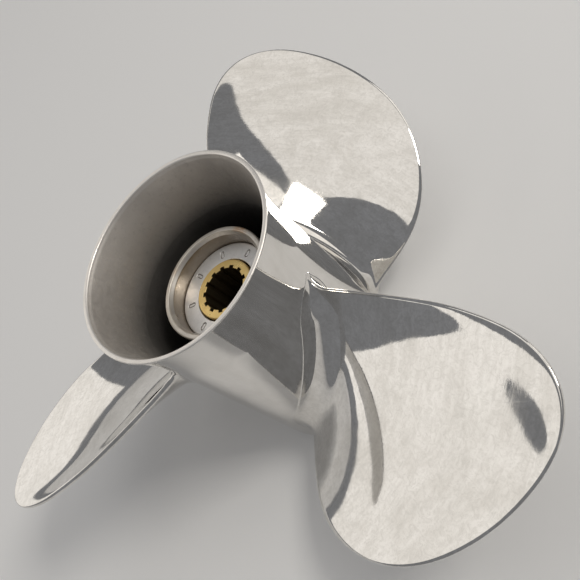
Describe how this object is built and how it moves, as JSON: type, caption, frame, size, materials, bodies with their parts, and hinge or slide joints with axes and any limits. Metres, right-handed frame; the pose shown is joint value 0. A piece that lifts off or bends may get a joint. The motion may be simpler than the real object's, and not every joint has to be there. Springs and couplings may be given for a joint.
{
  "type": "boat propeller",
  "caption": "Stainless outboard propeller with through-hub exhaust, flared aft diffuser ring and a splined brass drive sleeve in a rubber damper.",
  "frame": {"origin": "on the shaft axis, at the forward (gearcase) face of the hub, which is the face it stands on", "axes": "+Z along the shaft axis from the gearcase towards the aft rim; +Y along the reference line of blade 1"},
  "size_m": [0.2685, 0.2483, 0.128],
  "materials": {
    "polished_stainless": "mirror-polished stainless steel with fine buffing scratches",
    "cast_stainless": "matt bead-blasted investment casting",
    "brass": "machined",
    "damper_rubber": "moulded",
    "ring_aluminium": "satin"
  },
  "bodies": {
    "wheel": {"diffuser_ring": "polished_stainless", "barrel": "polished_stainless", "inner_hub": "cast_stainless", "hub_web_1": "cast_stainless", "hub_web_2": "cast_stainless", "hub_web_3": "cast_stainless", "blade_1": "polished_stainless", "blade_2": "polished_stainless", "blade_3": "polished_stainless", "end_ring": "ring_aluminium"},
    "drive_core": {"drive_sleeve": "brass", "damper_rubber": "damper_rubber"}
  },
  "joints": [
    {"name": "hub_damper_twist", "type": "hinge", "parent": "wheel", "child": "drive_core", "pos_m": [0, 0, 0.058], "axis": [0, 0, 1], "range_deg": [-10, 10], "stiffness_Nm_per_rad": 300}
  ]
}
